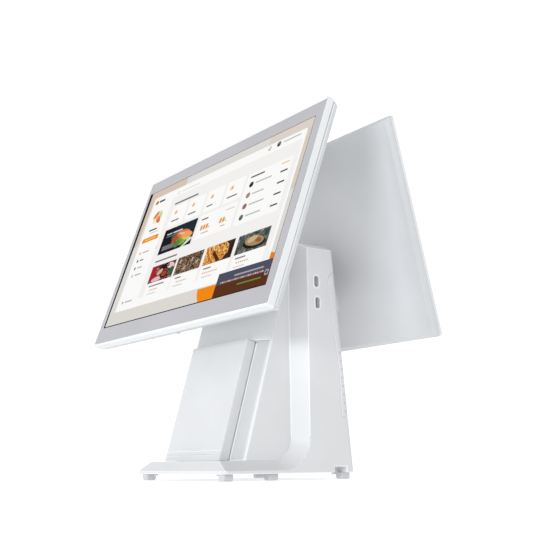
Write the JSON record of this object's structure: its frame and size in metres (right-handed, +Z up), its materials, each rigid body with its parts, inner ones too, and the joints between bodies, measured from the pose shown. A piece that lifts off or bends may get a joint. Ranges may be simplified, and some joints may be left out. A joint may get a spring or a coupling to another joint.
{
  "type": "pos touchscreen terminal",
  "caption": "Free-standing point-of-sale terminal with a tilting operator touchscreen and a tilting customer display, back to back on a wedge-shaped stand.",
  "frame": {"origin": "on the counter the feet rest on, under the middle of the terminal's overall box", "axes": "+Z up, -Y towards the operator, +Y towards the customer, +X to the operator's right"},
  "size_m": [0.372, 0.23, 0.387],
  "materials": {
    "white_plastic": "satin white moulding, fine spark texture",
    "light_plastic": "satin light grey moulding",
    "grey_rubber": "matt pale grey rubber",
    "dark_iron": "painted casting",
    "plated_steel": "zinc plated sheet",
    "nylon": "natural nylon",
    "circuit_board": "solder mask",
    "alloy": "extruded",
    "black_plastic": "moulded black",
    "cover_glass": "flat cover glass with a light grey printed border",
    "lit_screen": "lit panel behind glass",
    "dark_screen": "unlit panel"
  },
  "bodies": {
    "stand": {"stand_shell": "white_plastic", "base_plate": "plated_steel", "rubber_feet": "grey_rubber", "ballast_weight": "dark_iron", "neck_fascia": "white_plastic", "customer_hinge_bezel": "light_plastic", "stand_frame": "plated_steel", "mainboard": "circuit_board", "cpu_heat_sink": "alloy", "memory_module": "circuit_board", "storage_drive": "plated_steel", "speaker": "black_plastic", "io_board": "circuit_board", "rj_jacks": "black_plastic", "usb_stacks": "plated_steel", "power_jack": "black_plastic", "side_usb_board": "circuit_board", "side_usb_ports": "plated_steel", "side_usb_tongues": "black_plastic", "main_hinge_bracket": "plated_steel", "main_hinge_shaft": "plated_steel", "main_hinge_washers": "nylon", "main_hinge_nuts": "plated_steel", "customer_hinge_bracket": "plated_steel", "customer_hinge_shaft": "plated_steel", "customer_hinge_washers": "nylon", "customer_hinge_nuts": "plated_steel", "base_screws": "plated_steel", "frame_bolts": "plated_steel", "board_screws": "plated_steel"},
    "operator_monitor": {"main_glass": "cover_glass", "main_touch_film": "black_plastic", "main_lcd": "lit_screen", "main_frame": "white_plastic", "main_rear_shell": "light_plastic", "main_backplate": "plated_steel", "main_driver_board": "circuit_board", "main_hinge_leaf": "plated_steel", "main_hinge_spacers": "plated_steel", "main_shell_screws": "plated_steel", "power_switch": "black_plastic"},
    "customer_display": {"customer_glass": "cover_glass", "customer_lcd": "dark_screen", "customer_frame": "white_plastic", "customer_rear_shell": "light_plastic", "customer_backplate": "plated_steel", "customer_driver_board": "circuit_board", "customer_hinge_leaf": "plated_steel", "customer_hinge_spacers": "plated_steel", "customer_leaf_screws": "plated_steel"},
    "front_cover": {"front_cover": "white_plastic"},
    "rear_cover": {"rear_cover": "white_plastic"},
    "power_button": {"power_button": "light_plastic"}
  },
  "joints": [
    {"name": "operator_tilt", "type": "hinge", "parent": "stand", "child": "operator_monitor", "pos_m": [0, -0.02284, 0.238], "axis": [-1, 0, 0], "range_deg": [-15, 15]},
    {"name": "customer_tilt", "type": "hinge", "parent": "stand", "child": "customer_display", "pos_m": [0, 0.06016, 0.222], "axis": [-1, 0, 0], "range_deg": [-3, 14]},
    {"name": "front_cover_pull", "type": "slide", "parent": "stand", "child": "front_cover", "axis": [0, -0.9622, 0.2723], "range_m": [0, 0.02]},
    {"name": "rear_cover_pull", "type": "slide", "parent": "stand", "child": "rear_cover", "axis": [0, 1, 0], "range_m": [0, 0.016]},
    {"name": "power_press", "type": "slide", "parent": "operator_monitor", "child": "power_button", "axis": [0, 0.3371, 0.9415], "range_m": [0, 0.0008], "stiffness_N_per_m": 800}
  ]
}
